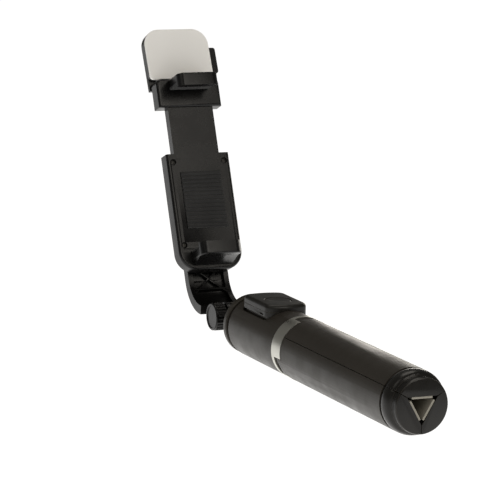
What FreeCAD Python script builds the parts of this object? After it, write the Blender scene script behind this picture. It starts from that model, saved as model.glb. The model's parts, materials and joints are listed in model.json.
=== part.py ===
import FreeCAD, Part
import math
import os
from types import SimpleNamespace

import Sketcher
from FreeCAD import Placement, Rotation, Vector

# Selfie stick with tripod legs, telescopic pole, tilting arm, spring clamp, fill light and remote.
# Row frame: origin at the centre of the closed legs' flat foot face, on the pole's axis.
# +Y runs along the pole from the feet to the head, +Z points up through the remote, and
# +X is the head's hinge axis. Millimetres and degrees throughout.

doc = FreeCAD.newDocument("SelfieStick")
sheet = doc.addObject("Spreadsheet::Sheet", "Sizes")

DRIVING = (
    ("handle_radius", 14.05, "outside radius of the shell and of the closed legs"),
    ("plastic_wall", 1.6, "wall of the moulded shell and legs"),
    ("part_gap", 0.4, "air between neighbouring pieces that move past each other"),
    ("slide_fit", 0.06, "radial clearance of a sliding or turning fit"),
    ("foot_length", 11.4, "length of the moulded foot at the end of each leg"),
    ("foot_face_radius", 11.2, "radius of the flat end face of the closed feet"),
    ("leg_end", 109.6, "distance from the foot face to the full-width end of a leg"),
    ("ring_face", 119.0, "distance from the foot face to the shell's lower end"),
    ("ring_width", 2.4, "width of the bright trim ring between its tabs"),
    ("tab_length", 6.6, "length of each tab of the trim ring"),
    ("seam_gap", 0.3, "gap between neighbouring closed legs"),
    ("leg_pin_radius", 1.0, "radius of a leg's hinge pin"),
    ("leg_pin_height", 11.05, "distance from the pole's axis to a leg's hinge axis"),
    ("leg_pin_inset", 4.1, "distance from a leg's hinge axis to the trim ring"),
    ("knuckle_half", 4.1, "half width of a leg's hinge knuckle"),
    ("knuckle_radius", 3.0, "radius of a leg's hinge knuckle"),
    ("plate_height", 3.1, "distance from the pole's axis to a leg's liner plate"),
    ("plate_thickness", 1.0, "thickness of a leg's liner plate"),
    ("plate_length", 24.0, "length of a leg's liner plate"),
    ("leg_cells", 5, "number of hollow cells between the cross ribs of a leg"),
    ("shell_length", 48.0, "length of the main shell"),
    ("tube_radius", 7.0, "outside radius of the widest pole tube"),
    ("tube_wall", 0.5, "wall of each pole tube"),
    ("tube_step", 0.95, "difference in radius between neighbouring tubes"),
    ("tube_start", 27.0, "distance from the foot face to the widest tube's lower end"),
    ("tube_stagger", 0.6, "how much further each thinner tube stands out at the head"),
    ("tube_foot_step", 1.2, "how much higher each thinner tube starts"),
    ("key_depth", 0.4, "depth of the flat that keeps the tubes from turning"),
    ("bush_length", 7.0, "length of the friction bush at the lower end of each sliding tube"),
    ("lip_length", 1.6, "length of the turned-in lip at the upper end of a tube"),
    ("land_height", 10.6, "height of the flat that carries the remote, above the pole's axis"),
    ("moat_depth", 1.4, "depth of the groove round the flat that carries the remote"),
    ("moat_inset", 1.2, "how far the groove reaches in under the remote"),
    ("remote_width", 20.0, "width of the remote"),
    ("remote_length", 31.0, "length of the remote along its middle"),
    ("remote_height", 5.6, "height of the remote"),
    ("remote_bulge", 2.4, "how far the remote's ends bulge out"),
    ("remote_corner", 4.0, "radius of the remote's upright corners"),
    ("remote_centre", 147.0, "distance from the foot face to the middle of the remote"),
    ("remote_button_radius", 6.0, "radius of the remote's shutter button"),
    ("remote_button_shift", 3.0, "how far the shutter button sits from the remote's middle"),
    ("disc_radius", 13.9, "radius of the pole head's disc"),
    ("disc_gap", 2.6, "black gap between the shell and the pole head's disc"),
    ("disc_width", 3.9, "thickness of the pole head's disc"),
    ("hinge_reach", 17.8, "distance from the disc's outer face to the tilt axis"),
    ("lug_half", 2.4, "half thickness of the pole head's hinge lug"),
    ("hinge_radius", 6.3, "radius of the hinge lug and of the arm's ears"),
    ("bolt_radius", 2.0, "radius of the hinge bolt"),
    ("knob_radius", 6.4, "radius of the hinge knob"),
    ("knob_end", 11.8, "distance from the middle plane to the knob's end face"),
    ("knob_length", 5.9, "length of the hinge knob"),
    ("knob_ribs", 24, "number of grip grooves round the knob"),
    ("arm_half", 10.3, "half width of the arm"),
    ("arm_thickness", 4.2, "thickness of the arm's rims"),
    ("arm_rim", 2.4, "width of the arm's rims"),
    ("arm_web", 2.0, "thickness of the arm's web between its rims"),
    ("arm_reach", 16.9, "distance from the tilt axis to the start of the arm's bend"),
    ("arm_drop", 2.1, "height of the tilt axis above the arm's lower face"),
    ("arm_bend_radius", 20.0, "outside radius of the arm's bend"),
    ("arm_rise", 20.2, "distance from the end of the bend to the swivel axis"),
    ("clamp_lean", 23.7, "lean of the clamp back from upright, in degrees"),
    ("clamp_half", 16.0, "half width of the clamp's back"),
    ("clamp_thickness", 6.8, "thickness of the clamp's back"),
    ("clamp_below", 17.4, "distance from the swivel axis down to the clamp's lower edge"),
    ("clamp_above", 39.0, "distance from the swivel axis up to the fixed half's upper edge"),
    ("clamp_skin", 1.2, "thickness of the fixed half's back wall and of its cover"),
    ("jaw_gap", 78.0, "distance between the jaw pads, the width of the phone shown"),
    ("jaw_floor_drop", 8.0, "distance from the swivel axis down to the lower pad's face"),
    ("jaw_half", 10.3, "half width of the jaws"),
    ("jaw_reach", 14.0, "how far the jaws stand out from the clamp's back"),
    ("hook_depth", 4.0, "thickness of the hook at the end of each jaw"),
    ("hook_rise", 1.3, "how far each hook stands over the pad's face"),
    ("hook_height", 6.2, "height of the front of each jaw"),
    ("pad_thickness", 1.2, "thickness of the soft pads"),
    ("head_height", 14.2, "height of the sliding half's wide head"),
    ("stem_half", 11.5, "half width of the sliding half's stem"),
    ("stem_length", 54.0, "length of the sliding half's stem"),
    ("swivel_radius", 1.5, "radius of the swivel screw"),
    ("lamp_half", 16.4, "half width of the fill light"),
    ("lamp_foot", 7.3, "distance from the light's hinge axis to its frame's lower edge"),
    ("lamp_top", 32.8, "distance from the light's hinge axis to its upper edge"),
    ("lamp_depth", 4.0, "depth of the light's tray"),
    ("lamp_skin", 1.2, "wall of the light's tray"),
    ("lens_rise", 0.8, "how far the diffuser stands out of the tray"),
    ("lamp_corner", 8.0, "radius of the light's upper corners"),
    ("lamp_lean", 4.0, "lean of the light back from the clamp's plane, in degrees"),
    ("lamp_pin_radius", 1.1, "radius of the light's hinge pin"),
)


class Size:
    """A length or an angle with its value and the spreadsheet expression that gives it."""

    def __init__(self, value, text):
        self.value = value
        self.text = text

    def __add__(self, other):
        return Size(self.value + value_of(other), f"({self.text} + {text_of(other)})")

    def __sub__(self, other):
        return Size(self.value - value_of(other), f"({self.text} - {text_of(other)})")

    def __mul__(self, other):
        return Size(self.value * value_of(other), f"({self.text} * {text_of(other)})")

    def __truediv__(self, other):
        return Size(self.value / value_of(other), f"({self.text} / {text_of(other)})")

    def __radd__(self, other):
        return self + other

    def __rsub__(self, other):
        return Size(value_of(other) - self.value, f"({text_of(other)} - {self.text})")

    def __rmul__(self, other):
        return self * other

    def __neg__(self):
        return Size(-self.value, f"(0 - {self.text})")


def value_of(size):
    return size.value if isinstance(size, Size) else float(size)


def text_of(size):
    return size.text if isinstance(size, Size) else repr(float(size))


def sine(angle):
    return Size(math.sin(math.radians(angle.value)), f"sin({angle.text} * 1 deg)")


def cosine(angle):
    return Size(math.cos(math.radians(angle.value)), f"cos({angle.text} * 1 deg)")


def fill_sheet():
    """Writes every driving dimension into the sheet and returns them by name."""
    named = {}
    for row, (alias, value, meaning) in enumerate(DRIVING, start=1):
        sheet.set(f"A{row}", meaning)
        sheet.set(f"B{row}", str(value))
        sheet.setAlias(f"B{row}", alias)
        named[alias] = Size(float(value), f"Sizes.{alias}")
    doc.recompute()
    return SimpleNamespace(**named)


d = fill_sheet()
nodes = {}

# ---------------------------------------------------------------- building blocks

ALONG = {
    "X": Rotation(Vector(0, 1, 0), 90),
    "Y": Rotation(Vector(1, 0, 0), -90),
    "Z": Rotation(),
}


def bind(obj, **sizes):
    """Sets properties of an object and ties each one to the sheet."""
    for name, size in sizes.items():
        setattr(obj, name, value_of(size))
        if isinstance(size, Size):
            obj.setExpression(name, size.text)


def place(obj, at, turn=Rotation()):
    """Puts an object at a point given as sizes."""
    obj.Placement = Placement(Vector(*[value_of(size) for size in at]), turn)
    for axis, size in zip("xyz", at):
        if isinstance(size, Size):
            obj.setExpression(f"Placement.Base.{axis}", size.text)
    return obj


def box(low, high):
    """A block between two opposite corners."""
    block = doc.addObject("Part::Box", "block")
    spans = [top - bottom for bottom, top in zip(low, high)]
    bind(block, Length=spans[0], Width=spans[1], Height=spans[2])
    return place(block, low)


def rod(radius, start, length, along="Y"):
    """A round bar from a start point along one axis."""
    bar = doc.addObject("Part::Cylinder", "rod")
    bind(bar, Radius=radius, Height=length)
    return place(bar, start, ALONG[along])


def sector(radius, start, length, half_angle):
    """A pie slice along Y whose middle plane points up."""
    slice_ = doc.addObject("Part::Cylinder", "sector")
    bind(slice_, Radius=radius, Height=length, Angle=2 * half_angle)
    turn = ALONG["Y"].multiply(Rotation(Vector(0, 0, 1), 270 - value_of(half_angle)))
    return place(slice_, start, turn)


def fuse(*solids):
    whole = doc.addObject("Part::MultiFuse", "fusion")
    whole.Shapes = list(solids)
    whole.Refine = True
    return whole


def common(*solids):
    overlap = doc.addObject("Part::MultiCommon", "common")
    overlap.Shapes = list(solids)
    return overlap


def cut(solid, *tools):
    rest = doc.addObject("Part::Cut", "cut")
    rest.Base = solid
    rest.Tool = tools[0] if len(tools) == 1 else fuse(*tools)
    return rest


def group(*solids):
    """Separate solids kept in one node."""
    together = doc.addObject("Part::Compound", "group")
    together.Links = list(solids)
    return together


def round_edges(solid, radius, wanted):
    """Rounds the edges that a test picks out by their middle point and direction."""
    doc.recompute()
    rounded = doc.addObject("Part::Fillet", "rounded")
    rounded.Base = solid
    chosen = []
    for index, edge in enumerate(solid.Shape.Edges, start=1):
        middle = edge.valueAt((edge.FirstParameter + edge.LastParameter) / 2)
        ends = edge.Vertexes[-1].Point - edge.Vertexes[0].Point
        if wanted(middle, ends):
            chosen.append((index, value_of(radius), value_of(radius)))
    if not chosen:
        raise ValueError(f"{solid.Label}: no edge to round")
    rounded.Edges = chosen
    return rounded


def keep(obj, label, frame=None):
    """Names a finished piece and, in a leaning frame, moves it there."""
    piece = obj
    if frame is not None:
        piece = group(obj)
        origin, angle = frame
        place(piece, origin, Rotation(Vector(1, 0, 0), value_of(angle)))
        piece.setExpression("Placement.Rotation.Angle", angle.text)
    piece.Label = label
    nodes[label] = piece
    return piece


def origin_feature(body, role):
    return next(item for item in body.Origin.OriginFeatures if item.Role == role)


def draw(body, plane, corners, lift=0):
    """A closed outline of straight edges with every corner tied to the sheet."""
    sketch = body.newObject("Sketcher::SketchObject", "outline")
    sketch.AttachmentSupport = [(origin_feature(body, plane), "")]
    sketch.MapMode = "FlatFace"
    sketch.AttachmentOffset = Placement(Vector(0, 0, value_of(lift)), Rotation())
    if isinstance(lift, Size):
        sketch.setExpression("AttachmentOffset.Base.z", lift.text)
    points = [Vector(value_of(across), value_of(along), 0) for across, along in corners]
    count = len(points)
    for index, point in enumerate(points):
        sketch.addGeometry(Part.LineSegment(point, points[(index + 1) % count]), False)
    for index in range(count):
        link = Sketcher.Constraint("Coincident", index, 2, (index + 1) % count, 1)
        sketch.addConstraint(link)
    for index, corner in enumerate(corners):
        for kind, size in zip(("DistanceX", "DistanceY"), corner):
            rule = Sketcher.Constraint(kind, -1, 1, index, 1, value_of(size))
            number = sketch.addConstraint(rule)
            if isinstance(size, Size):
                sketch.setExpression(f"Constraints[{number}]", size.text)
    return sketch


def turned(name, corners, axis="Y"):
    """A body turned about the X or Y axis from an outline in the XY plane."""
    body = doc.addObject("PartDesign::Body", name)
    sketch = draw(body, "XY_Plane", corners)
    spin = body.newObject("PartDesign::Revolution", "spin")
    spin.Profile = sketch
    spin.ReferenceAxis = (origin_feature(body, f"{axis}_Axis"), [""])
    spin.Angle = 360
    body.Tip = spin
    return body


def padded(name, plane, corners, length, lift=0):
    """A body raised from an outline on one of its own origin planes."""
    body = doc.addObject("PartDesign::Body", name)
    sketch = draw(body, plane, corners, lift)
    pad = body.newObject("PartDesign::Pad", "pad")
    pad.Profile = sketch
    bind(pad, Length=length)
    body.Tip = pad
    return body


# ---------------------------------------------------------------- places along the pole

ring_start = d.ring_face - d.ring_width
tab_start = ring_start - d.tab_length
leg_pin_y = d.ring_face - d.ring_width - d.leg_pin_inset
shell_end = d.ring_face + d.shell_length
disc_start = shell_end + d.disc_gap
disc_end = disc_start + d.disc_width
hinge_y = disc_end + d.hinge_reach

LEG_ANGLES = {"leg_1": 0, "leg_2": 120, "leg_3": 240}
END_RECESS = 0.5
TUBES = range(1, 6)


def tube_outer(number):
    return d.tube_radius - (number - 1) * d.tube_step


def tube_low(number):
    return d.tube_start + (number - 1) * d.tube_foot_step


def tube_high(number):
    if number == TUBES[-1]:
        return disc_end + d.disc_width * 2
    return shell_end - END_RECESS + (number - 1) * d.tube_stagger


# ---------------------------------------------------------------- telescopic pole


def keyed_bar(radius, start, length):
    """A round bar along the pole with a flat underneath that stops it turning."""
    flat = radius - d.key_depth
    return common(
        rod(radius, (0, start, 0), length),
        box((-radius, start, -flat), (radius, start + length, radius)),
    )


def pole_tube(number):
    """One thin tube, with a turned-in lip that holds the next tube's bush."""
    outer = tube_outer(number)
    low = tube_low(number)
    length = tube_high(number) - low
    wall = cut(keyed_bar(outer, low, length), keyed_bar(outer - d.tube_wall, low - 1, length + 2))
    if number == TUBES[-1]:
        return wall
    lip_start = low + length - d.lip_length
    opening = tube_outer(number + 1) + d.slide_fit
    lip = cut(
        keyed_bar(outer - d.tube_wall, lip_start, d.lip_length),
        keyed_bar(opening, lip_start - 1, d.lip_length + 2),
    )
    return fuse(wall, lip)


def friction_bush(number):
    """The sleeve on a tube's lower end, which drags inside the wider tube."""
    low = tube_low(number)
    outer = tube_outer(number - 1) - d.tube_wall - d.slide_fit
    return cut(
        keyed_bar(outer, low, d.bush_length),
        keyed_bar(tube_outer(number), low - 1, d.bush_length + 2),
    )


def build_pole():
    for number in TUBES:
        keep(pole_tube(number), f"tube_{number}")
    for number in TUBES[1:]:
        keep(friction_bush(number), f"tube_bush_{number}")


# ---------------------------------------------------------------- legs

LEG_HALF_ANGLE = Size(60.0, "60")
UNDERCUT_SLOPE = 0.5


def leg_slice(radius, start, length, inset):
    """A third of a round bar, its two flat sides set in from the seams."""
    rise = inset / sine(LEG_HALF_ANGLE)
    wedge = sector(radius + d.handle_radius, (0, start, rise), length, LEG_HALF_ANGLE)
    return common(rod(radius, (0, start, 0), length), wedge)


def around_pole(obj, label, angle):
    """Keeps a piece after turning it about the pole's axis."""
    piece = keep(group(obj), label)
    piece.Placement = Placement(Vector(), Rotation(Vector(0, 1, 0), angle))
    return piece


def end_undercut(core):
    """A hollow cone at the leg's end, so that only the rim comes near the ring's tabs."""
    radius = d.handle_radius
    depth = (radius - core) * UNDERCUT_SLOPE
    return turned(
        "end_undercut",
        (
            (core - 1, d.leg_end - depth),
            (core, d.leg_end - depth),
            (radius, d.leg_end),
            (radius + 1, d.leg_end),
            (radius + 1, d.leg_end + 1),
            (core - 1, d.leg_end + 1),
        ),
    )


def leg_shell():
    """A hollow third of the handle with cross ribs and a hinge knuckle."""
    side = d.seam_gap / 2
    inner = d.handle_radius - d.plastic_wall
    core = d.tube_radius + 1
    solid = cut(
        leg_slice(d.handle_radius, d.foot_length, d.leg_end - d.foot_length, side),
        rod(core, (0, d.foot_length - 1, 0), d.leg_end),
    )
    rib = d.plastic_wall
    socket = 6.6
    end_wall = 2.0
    cells = [leg_slice(inner, d.foot_length - 1, socket + 1, side + d.plastic_wall)]
    first = d.foot_length + socket + rib
    count = int(d.leg_cells.value)
    pitch = (d.leg_end - end_wall - first) / d.leg_cells
    for index in range(count):
        start = first + index * pitch
        cells.append(leg_slice(inner, start, pitch - rib, side + d.plastic_wall))
    knuckle_low = d.leg_pin_height - d.knuckle_radius
    stalk = box(
        (-d.knuckle_half, d.leg_end - end_wall, knuckle_low),
        (d.knuckle_half, leg_pin_y, d.handle_radius),
    )
    eye = rod(
        d.knuckle_radius, (-d.knuckle_half, leg_pin_y, d.leg_pin_height), 2 * d.knuckle_half, "X"
    )
    knuckle_length = leg_pin_y + d.knuckle_radius + 1 - d.leg_end
    barrel = rod(d.handle_radius, (0, d.leg_end - end_wall, 0), knuckle_length + end_wall)
    knuckle = common(fuse(stalk, eye), barrel)
    pin_hole = rod(
        d.leg_pin_radius + d.slide_fit,
        (-d.handle_radius, leg_pin_y, d.leg_pin_height),
        2 * d.handle_radius,
        "X",
    )
    return cut(fuse(cut(solid, end_undercut(core), *cells), knuckle), pin_hole)


def foot_outline():
    """Half outline of the closed feet: flat face, waist, bulging band and fine groove."""
    face = d.foot_face_radius
    full = d.handle_radius
    end = d.foot_length
    return (
        (0, 0),
        (face, 0),
        (face + 0.6, 0.3),
        (face + 0.9, 1.0),
        (face + 0.7, 2.6),
        (face + 0.8, 4.4),
        (full - 1.1, 5.0),
        (full - 0.5, 6.0),
        (full - 0.1, 7.6),
        (full, end - 1.8),
        (full - 0.2, end - 1.3),
        (full - 0.9, end - 1.1),
        (full - 0.9, end - 0.3),
        (full - 0.4, end - 0.1),
        (0, end - 0.1),
    )


def leg_foot():
    """The moulded foot: a third of the turned outline, with a plug that fills the leg's end."""
    side = d.seam_gap / 2
    plug_radius = d.handle_radius - d.plastic_wall - d.slide_fit
    plug_side = side + d.plastic_wall + d.slide_fit
    bottom = d.plate_height + d.plate_thickness
    wide = 2 * d.handle_radius
    rise = side / sine(LEG_HALF_ANGLE)
    wedge = sector(wide, (0, -1, rise), d.foot_length + 1, LEG_HALF_ANGLE)
    third = common(turned("foot_profile", foot_outline()), wedge)
    plug = leg_slice(plug_radius, d.foot_length - 1, 7.5, plug_side)
    above_plate = box((-wide, -1, bottom), (wide, 2 * d.foot_length, wide))
    return common(fuse(third, plug), above_plate)


def leg_plate():
    """The grey liner plate: one side of the triangular hole in the closed feet."""
    half = (d.plate_height - d.seam_gap) * 1.7
    low = d.plate_height
    return box((-half, 0.4, low), (half, d.plate_length, low + d.plate_thickness))


def build_legs():
    for leg, angle in LEG_ANGLES.items():
        around_pole(leg_shell(), leg, angle)
        around_pole(leg_foot(), leg.replace("leg", "foot"), angle)
        around_pole(leg_plate(), leg.replace("leg", "leg_plate"), angle)


# ---------------------------------------------------------------- hub, ring and shell

moat_floor = d.land_height - d.moat_depth
land_underside = moat_floor - 1.0


def turn_about_pole(obj, angle):
    obj.Placement = Placement(Vector(), Rotation(Vector(0, 1, 0), angle))
    return obj


def leg_hub():
    """The block inside the ring that carries the three leg pins."""
    rim = d.handle_radius - 0.8
    plug = d.handle_radius - d.plastic_wall - d.slide_fit
    ring_depth = d.ring_face - tab_start
    solid = fuse(
        rod(rim, (0, tab_start, 0), ring_depth),
        rod(plug, (0, d.ring_face, 0), 8),
    )
    slot_half = d.knuckle_half + 0.3
    slot_floor = d.leg_pin_height - d.knuckle_radius - d.part_gap
    tools = [rod(d.tube_radius, (0, tab_start - 1, 0), ring_depth + 12)]
    for angle in LEG_ANGLES.values():
        slot = box(
            (-slot_half, tab_start - 1, slot_floor),
            (slot_half, leg_pin_y + d.knuckle_radius + d.part_gap * 2, d.handle_radius),
        )
        tools.append(turn_about_pole(group(slot), angle))
        tools.append(turn_about_pole(group(leg_pin()), angle))
    return cut(solid, *tools)


def leg_pin():
    """One hinge pin; its ends stay under the trim ring's tabs."""
    half = d.knuckle_half + 1.2
    return rod(d.leg_pin_radius, (-half, leg_pin_y, d.leg_pin_height), 2 * half, "X")


def trim_ring():
    """The bright ring with three wide tabs that lap over the seams between the legs."""
    inner = d.handle_radius - 0.75
    outer = d.handle_radius + 0.1
    length = d.ring_face - tab_start
    band = cut(
        rod(outer, (0, tab_start, 0), length),
        rod(inner, (0, tab_start - 1, 0), length + 2),
    )
    gap_angle = Size(18.3, "18.3")
    notches = []
    for angle in LEG_ANGLES.values():
        notch = sector(outer + 1, (0, tab_start - 1, 0), d.tab_length + 1, gap_angle)
        notches.append(turn_about_pole(group(notch), angle))
    return cut(band, *notches)


def remote_outline(height, start, offset):
    """The remote's plan shape raised along Z: straight sides and gently bulging ends."""
    half = d.remote_width / 2
    corner_x = half.value + value_of(offset) - 0.5
    swell = (half * half + d.remote_bulge * d.remote_bulge) / (2 * d.remote_bulge)
    low = d.remote_centre - d.remote_length / 2
    high = d.remote_centre + d.remote_length / 2
    corner = (half + offset, high + offset, start + height)
    block = box((-half - offset, low - offset, start), corner)
    front = rod(swell + offset, (0, low + swell, start), height, "Z")
    back = rod(swell + offset, (0, high - swell, start), height, "Z")
    shape = common(block, front, back)
    return round_edges(
        shape,
        d.remote_corner + offset,
        lambda middle, ends: abs(ends.z) > 0.5 and abs(middle.x) > corner_x,
    )


def handle_shell():
    """The main shell: a tube with a flat on top where the remote sits, and a groove round it."""
    inner = d.handle_radius - d.plastic_wall
    margin = 2.0
    overlap = 0.2
    top = d.handle_radius
    low = d.remote_centre - d.remote_length / 2 - margin
    high = d.remote_centre + d.remote_length / 2 + margin
    hollow = rod(inner, (0, d.ring_face - 1, 0), d.shell_length + 2)
    land = common(
        rod(inner + overlap, (0, low, 0), high - low),
        box((-inner, low, land_underside), (inner, high, top)),
    )
    barrel = rod(d.handle_radius, (0, d.ring_face, 0), d.shell_length)
    barrel = round_edges(barrel, 0.8, lambda middle, ends: middle.y > shell_end.value - 0.1)
    recess = remote_outline(top, d.land_height, d.part_gap)
    moat = cut(
        remote_outline(top, moat_floor, d.part_gap),
        remote_outline(top + 1, moat_floor - 0.5, -d.moat_inset),
    )
    return cut(fuse(cut(barrel, hollow), land), recess, moat)


def shell_end_ring():
    """The black guide that closes the shell's head end round the widest tube."""
    inner = d.tube_radius
    rim = d.handle_radius - d.plastic_wall - d.slide_fit
    neck = land_underside - 0.2
    neck_start = shell_end - 10
    rim_start = shell_end - 2.2
    face = shell_end - END_RECESS
    return turned(
        "shell_end_ring",
        (
            (inner, neck_start),
            (neck, neck_start),
            (neck, rim_start),
            (rim, rim_start),
            (rim, face),
            (inner, face),
        ),
    )


def build_handle():
    keep(leg_hub(), "leg_hub")
    pins = [turn_about_pole(group(leg_pin()), angle) for angle in LEG_ANGLES.values()]
    keep(group(*pins), "leg_pins")
    keep(trim_ring(), "trim_ring")
    keep(handle_shell(), "handle_shell")
    keep(shell_end_ring(), "shell_end_ring")


# ---------------------------------------------------------------- remote

remote_low = d.land_height + 0.3
remote_split = remote_low + 2.3
remote_high = remote_low + d.remote_height
button_y = d.remote_centre - d.remote_button_shift
REMOTE_WALL = 1.2
REMOTE_ROUNDING = 1.7


def remote_base():
    """The remote's lower shell: a shallow tray with a small slot to prise it open."""
    depth = remote_split - remote_low
    tray = cut(
        remote_outline(depth, remote_low, 0),
        remote_outline(depth, remote_low + REMOTE_WALL, -REMOTE_WALL),
    )
    side = d.remote_width / 2
    slot_y = d.remote_centre - 9.5
    slot = box((-side - 1, slot_y, remote_low + 0.5), (-side + 0.7, slot_y + 4, remote_low + 1.1))
    return cut(tray, slot)


def remote_cover():
    """The remote's upper shell, with a round well for the shutter button."""
    depth = remote_high - remote_split
    block = remote_outline(depth, remote_split, 0)
    top = remote_high.value
    block = round_edges(block, REMOTE_ROUNDING, lambda middle, ends: middle.z > top - 0.05)
    hollow = remote_outline(depth - REMOTE_WALL, remote_split, -REMOTE_WALL)
    well = rod(d.remote_button_radius + 0.3, (0, button_y, remote_split), depth + 1, "Z")
    return cut(block, hollow, well)


def remote_button():
    """The shutter button: a shallow dished cap with a flange under the cover."""
    top = remote_high - 0.15
    bottom = remote_split + 1.2
    cap = rod(d.remote_button_radius, (0, button_y, bottom), top - bottom, "Z")
    dish_radius = d.remote_button_radius * 5
    dish = doc.addObject("Part::Sphere", "dish")
    bind(dish, Radius=dish_radius)
    place(dish, (0, button_y, top + dish_radius - 0.35))
    return cut(cap, dish)


def remote_board():
    """The circuit board with the dome switch under the button."""
    y = d.remote_centre
    board_half, board_reach = 7.6, 11.0
    board_top = remote_split + 0.3
    board = box(
        (-board_half, y - board_reach, board_top - 0.7), (board_half, y + board_reach, board_top)
    )
    switch = rod(2.0, (0, button_y, board_top), 0.45, "Z")
    return fuse(board, switch)


def remote_battery():
    """A thin coin cell under the board."""
    return rod(6.0, (0, d.remote_centre, remote_low + REMOTE_WALL), 0.65, "Z")


def build_remote():
    keep(remote_base(), "remote_base")
    keep(remote_cover(), "remote_cover")
    keep(remote_button(), "remote_button")
    keep(remote_board(), "remote_board")
    keep(remote_battery(), "remote_battery")


# ---------------------------------------------------------------- pole head and tilt hinge

ear_inner = d.lug_half + 0.5
ear_outer = 8.2
EAR_STEP = 5.2
bolt_hole = d.bolt_radius + d.slide_fit


def pole_head():
    """The disc on the thinnest tube, with a lug for the tilt hinge."""
    edge = d.disc_radius
    neck = disc_end + 5
    dome = turned(
        "head_dome",
        (
            (0, disc_start),
            (edge - 0.5, disc_start),
            (edge, disc_start + 0.5),
            (edge, disc_end - 1.0),
            (edge - 1.0, disc_end),
            (edge - 4.5, disc_end + 0.8),
            (edge - 6.0, neck),
            (0, neck),
        ),
    )
    lug = fuse(
        box(
            (-d.lug_half, disc_end, -d.hinge_radius),
            (d.lug_half, hinge_y, d.hinge_radius),
        ),
        rod(d.hinge_radius, (-d.lug_half, hinge_y, 0), 2 * d.lug_half, "X"),
    )
    last = TUBES[-1]
    socket = keyed_bar(tube_outer(last), disc_start - 1, tube_high(last) - disc_start + 1)
    bore = rod(bolt_hole, (-d.lug_half - 1, hinge_y, 0), 2 * d.lug_half + 2, "X")
    return cut(fuse(dome, lug), socket, bore)


def hinge_knob():
    """The grip knob: a rimmed smooth end, then grooves round the barrel."""
    end = -d.knob_end
    root = end + d.knob_length
    radius = d.knob_radius
    body = turned(
        "hinge_knob",
        (
            (end + 0.4, 0),
            (end + 0.4, radius - 1.3),
            (end, radius - 1.0),
            (end, radius - 0.4),
            (end + 0.4, radius),
            (root, radius),
            (root, d.bolt_radius),
            (end + 2.0, d.bolt_radius),
            (end + 2.0, 0),
        ),
        "X",
    )
    groove_half = 0.42
    sketch = draw(
        body,
        "YZ_Plane",
        (
            (-groove_half, radius - 0.55),
            (groove_half, radius - 0.55),
            (groove_half, radius + 1),
            (-groove_half, radius + 1),
        ),
        root + 0.2,
    )
    groove = body.newObject("PartDesign::Pocket", "groove")
    groove.Profile = sketch
    bind(groove, Length=d.knob_length - 1.3)
    body.Tip = groove
    doc.recompute()
    ribs = body.newObject("PartDesign::PolarPattern", "grooves")
    ribs.Originals = [groove]
    ribs.Axis = (origin_feature(body, "X_Axis"), [""])
    ribs.Angle = 360
    ribs.Occurrences = int(d.knob_ribs.value)
    body.Tip = ribs
    place(body, (0, hinge_y, 0))
    return body


def hexagon(radius, start, length):
    """A six-sided bar along X, given by its corner radius."""
    bar = doc.addObject("Part::Prism", "hexagon")
    bar.Polygon = 6
    bind(bar, Circumradius=radius, Height=length)
    return place(bar, start, ALONG["X"])


NUT_RADIUS = 4.0
NUT_WIDTH = 2.8


def hinge_nut():
    start = ear_outer - NUT_WIDTH
    nut = hexagon(NUT_RADIUS, (start, hinge_y, 0), NUT_WIDTH)
    return cut(nut, rod(d.bolt_radius, (start - 1, hinge_y, 0), NUT_WIDTH + 2, "X"))


def hinge_bolt():
    """The bolt turns with the knob and ends inside the nut."""
    start = -d.knob_end + 2.0
    return rod(d.bolt_radius, (start, hinge_y, 0), ear_outer - start - 0.2, "X")


def hinge_washers():
    """One friction washer on the inside of each ear."""
    washers = []
    for start in (-ear_inner, ear_inner - 0.4):
        ring = rod(d.hinge_radius - 0.6, (start, hinge_y, 0), 0.4, "X")
        washers.append(cut(ring, rod(bolt_hole, (start - 1, hinge_y, 0), 3, "X")))
    return group(*washers)


def build_head():
    keep(pole_head(), "pole_head")
    keep(hinge_knob(), "hinge_knob")
    keep(hinge_bolt(), "hinge_bolt")
    keep(hinge_nut(), "hinge_nut")
    keep(hinge_washers(), "hinge_washers")


# ---------------------------------------------------------------- arm

# The arm's bend turns from the pole's direction up into the clamp's plane. The clamp frame
# has its origin on the swivel axis at the arm's front face, Y up the clamp and Z forward.
bend_turn = 90 - d.clamp_lean
bend_y = hinge_y + d.arm_reach
bend_z = d.arm_bend_radius - d.arm_drop
bend_inner = d.arm_bend_radius - d.arm_thickness
clamp_y = bend_y + bend_inner * cosine(d.clamp_lean) + d.arm_rise * sine(d.clamp_lean)
clamp_z = bend_z - bend_inner * sine(d.clamp_lean) + d.arm_rise * cosine(d.clamp_lean)
CLAMP = ((0, clamp_y, clamp_z), bend_turn)
SWIVEL_GAP = 0.4
RIB_HALF = 0.4
RIB_SLANT = 50
CROSS_RIB_ANGLE = 42


def bend(outer, inner, half, turn):
    """Part of a tube round the bend's axis, from its lowest point upwards."""
    solid = doc.addObject("Part::Cylinder", "bend")
    bind(solid, Radius=outer, Height=2 * half, Angle=turn)
    at = (-half, bend_y, bend_z)
    place(solid, at, ALONG["X"])
    core = rod(inner, (-half - 1, bend_y, bend_z), 2 * half + 2, "X")
    return cut(solid, core)


def in_clamp_frame(obj):
    origin, angle = CLAMP
    piece = place(group(obj), origin, Rotation(Vector(1, 0, 0), value_of(angle)))
    piece.setExpression("Placement.Rotation.Angle", angle.text)
    return piece


def cross_rib(half):
    """A thin wall from side to side of the arm's channel, part of the way up its bend."""
    wall = box((-half, 0, -RIB_HALF), (half, d.arm_bend_radius, RIB_HALF))
    return place(group(wall), (0, bend_y, bend_z), Rotation(Vector(1, 0, 0), -CROSS_RIB_ANGLE))


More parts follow.
